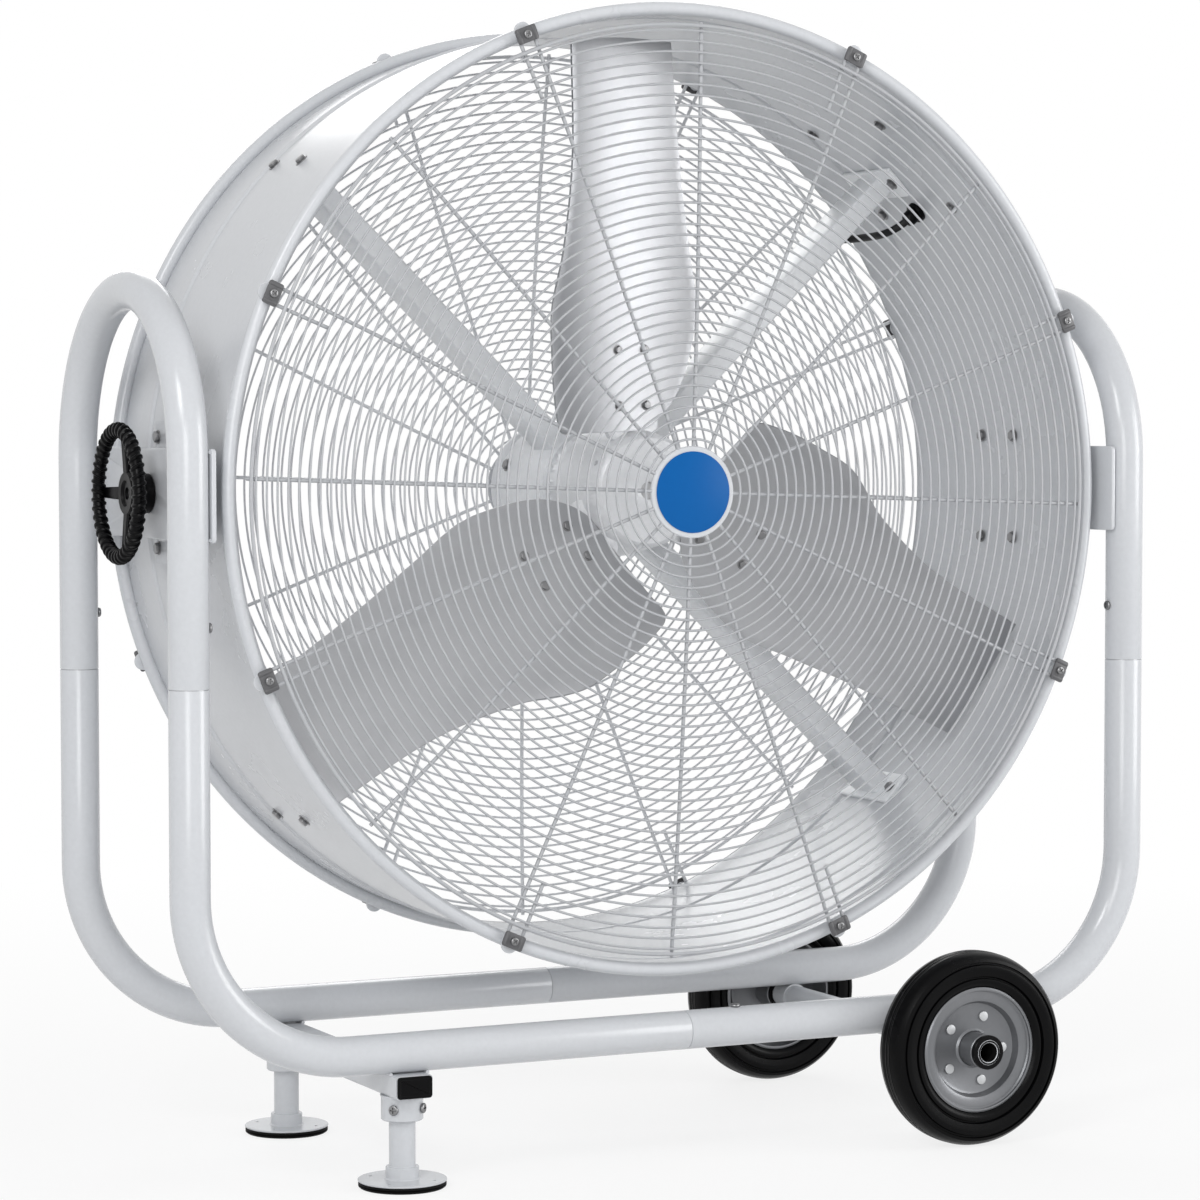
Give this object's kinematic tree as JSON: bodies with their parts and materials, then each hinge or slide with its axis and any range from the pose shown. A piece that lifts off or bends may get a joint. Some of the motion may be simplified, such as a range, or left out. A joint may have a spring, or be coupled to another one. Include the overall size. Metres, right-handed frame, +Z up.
{
  "type": "drum fan",
  "caption": "Large round drum fan with front and rear wire guards, tilting between side hoops of a bent tube frame on wheels and rubber feet.",
  "frame": {"origin": "on the floor, under the middle of the tilt axis", "axes": "+Z up, the fan blows towards -Y, +X to the right of someone who faces the fan's front; tilt axis along X"},
  "size_m": [1.419, 0.662, 1.515],
  "materials": {
    "drum_grey": "silver-grey powder coat",
    "wire_grey": "silver-grey coated wire",
    "badge_blue": "plain blue label",
    "clip_dark": "dark grey",
    "zinc": "zinc plated",
    "spider_grey": "silver-grey powder coat",
    "motor_grey": "grey paint",
    "cast_alloy": "cast",
    "core_steel": "laminated steel",
    "winding": "varnished copper",
    "steel": "ground",
    "black_plastic": "black moulded",
    "blade_alloy": "mill finish",
    "frame_grey": "silver-grey powder coat",
    "fibre": "friction fibre",
    "tyre_black": "black rubber",
    "rim_grey": "grey paint",
    "rubber_black": "black rubber"
  },
  "bodies": {
    "frame": {"hoop_left": "frame_grey", "hoop_right": "frame_grey", "lower_tube_front_left": "frame_grey", "lower_tube_front_right": "frame_grey", "lower_tube_rear_left": "frame_grey", "lower_tube_rear_right": "frame_grey", "join_sleeves": "steel", "frame_screws": "zinc", "pivot_plates": "frame_grey", "friction_discs": "fibre", "foot_crossbar": "frame_grey", "crossbar_end_caps": "black_plastic", "axle_tube": "frame_grey", "axle_collars": "black_plastic"},
    "drum": {"drum_shell": "drum_grey", "front_guard_rings": "wire_grey", "front_guard_spokes": "wire_grey", "rear_guard_rings": "wire_grey", "rear_guard_spokes": "wire_grey", "guard_plates": "drum_grey", "centre_badge": "badge_blue", "guard_clips": "clip_dark", "guard_clip_screws": "zinc", "motor_spider": "spider_grey", "drum_bolts": "zinc", "motor_housing": "motor_grey", "motor_front_bell": "cast_alloy", "motor_rear_bell": "motor_grey", "stator_core": "core_steel", "stator_windings": "winding", "motor_bearings": "steel", "terminal_box": "motor_grey", "motor_cable": "rubber_black", "cable_glands": "black_plastic", "control_box": "drum_grey", "control_box_cover": "drum_grey", "trunnion_pads": "frame_grey", "trunnion_bolts": "zinc", "pivot_studs": "steel"},
    "rotor": {"motor_shaft": "steel", "rotor_core": "core_steel", "fan_hub": "cast_alloy", "fan_blade_1": "blade_alloy", "fan_blade_2": "blade_alloy", "fan_blade_3": "blade_alloy", "blade_bolts": "zinc"},
    "switch": {"speed_switch": "black_plastic"},
    "wheel_front": {"front_tyre": "tyre_black", "front_wheel_rim": "rim_grey", "front_wheel_bushes": "black_plastic"},
    "wheel_rear": {"rear_tyre": "tyre_black", "rear_wheel_rim": "rim_grey", "rear_wheel_bushes": "black_plastic"},
    "foot_front": {"front_foot": "frame_grey", "front_foot_pad": "rubber_black"},
    "foot_rear": {"rear_foot": "frame_grey", "rear_foot_pad": "rubber_black"},
    "handwheel_left": {"handwheel_left": "black_plastic"},
    "handwheel_right": {"handwheel_right": "black_plastic"}
  },
  "joints": [
    {"name": "drum_tilt", "type": "hinge", "parent": "frame", "child": "drum", "pos_m": [0, 0, 0.88], "axis": [1, 0, 0], "range_deg": [-90, 90]},
    {"name": "fan_spin", "type": "hinge", "parent": "drum", "child": "rotor", "pos_m": [0, 0, 0.88], "axis": [0, 1, 0], "continuous": true},
    {"name": "speed_switch_turn", "type": "hinge", "parent": "drum", "child": "switch", "pos_m": [0.423, 0.094, 1.37692], "axis": [0, 1, 0], "range_deg": [-60, 60]},
    {"name": "handwheel_left_turn", "type": "hinge", "parent": "drum", "child": "handwheel_left", "pos_m": [-0.69, 0, 0.88], "axis": [1, 0, 0], "range_deg": [0, 180]},
    {"name": "handwheel_right_turn", "type": "hinge", "parent": "drum", "child": "handwheel_right", "pos_m": [0.69, 0, 0.88], "axis": [1, 0, 0], "range_deg": [-180, 0]},
    {"name": "wheel_front_spin", "type": "hinge", "parent": "frame", "child": "wheel_front", "pos_m": [0.398, -0.282, 0.131], "axis": [0, 1, 0], "continuous": true},
    {"name": "wheel_rear_spin", "type": "hinge", "parent": "frame", "child": "wheel_rear", "pos_m": [0.398, 0.282, 0.131], "axis": [0, 1, 0], "continuous": true},
    {"name": "foot_front_height", "type": "slide", "parent": "frame", "child": "foot_front", "axis": [0, 0, -1], "range_m": [-0.015, 0.022]},
    {"name": "foot_rear_height", "type": "slide", "parent": "frame", "child": "foot_rear", "axis": [0, 0, -1], "range_m": [-0.015, 0.022]}
  ]
}
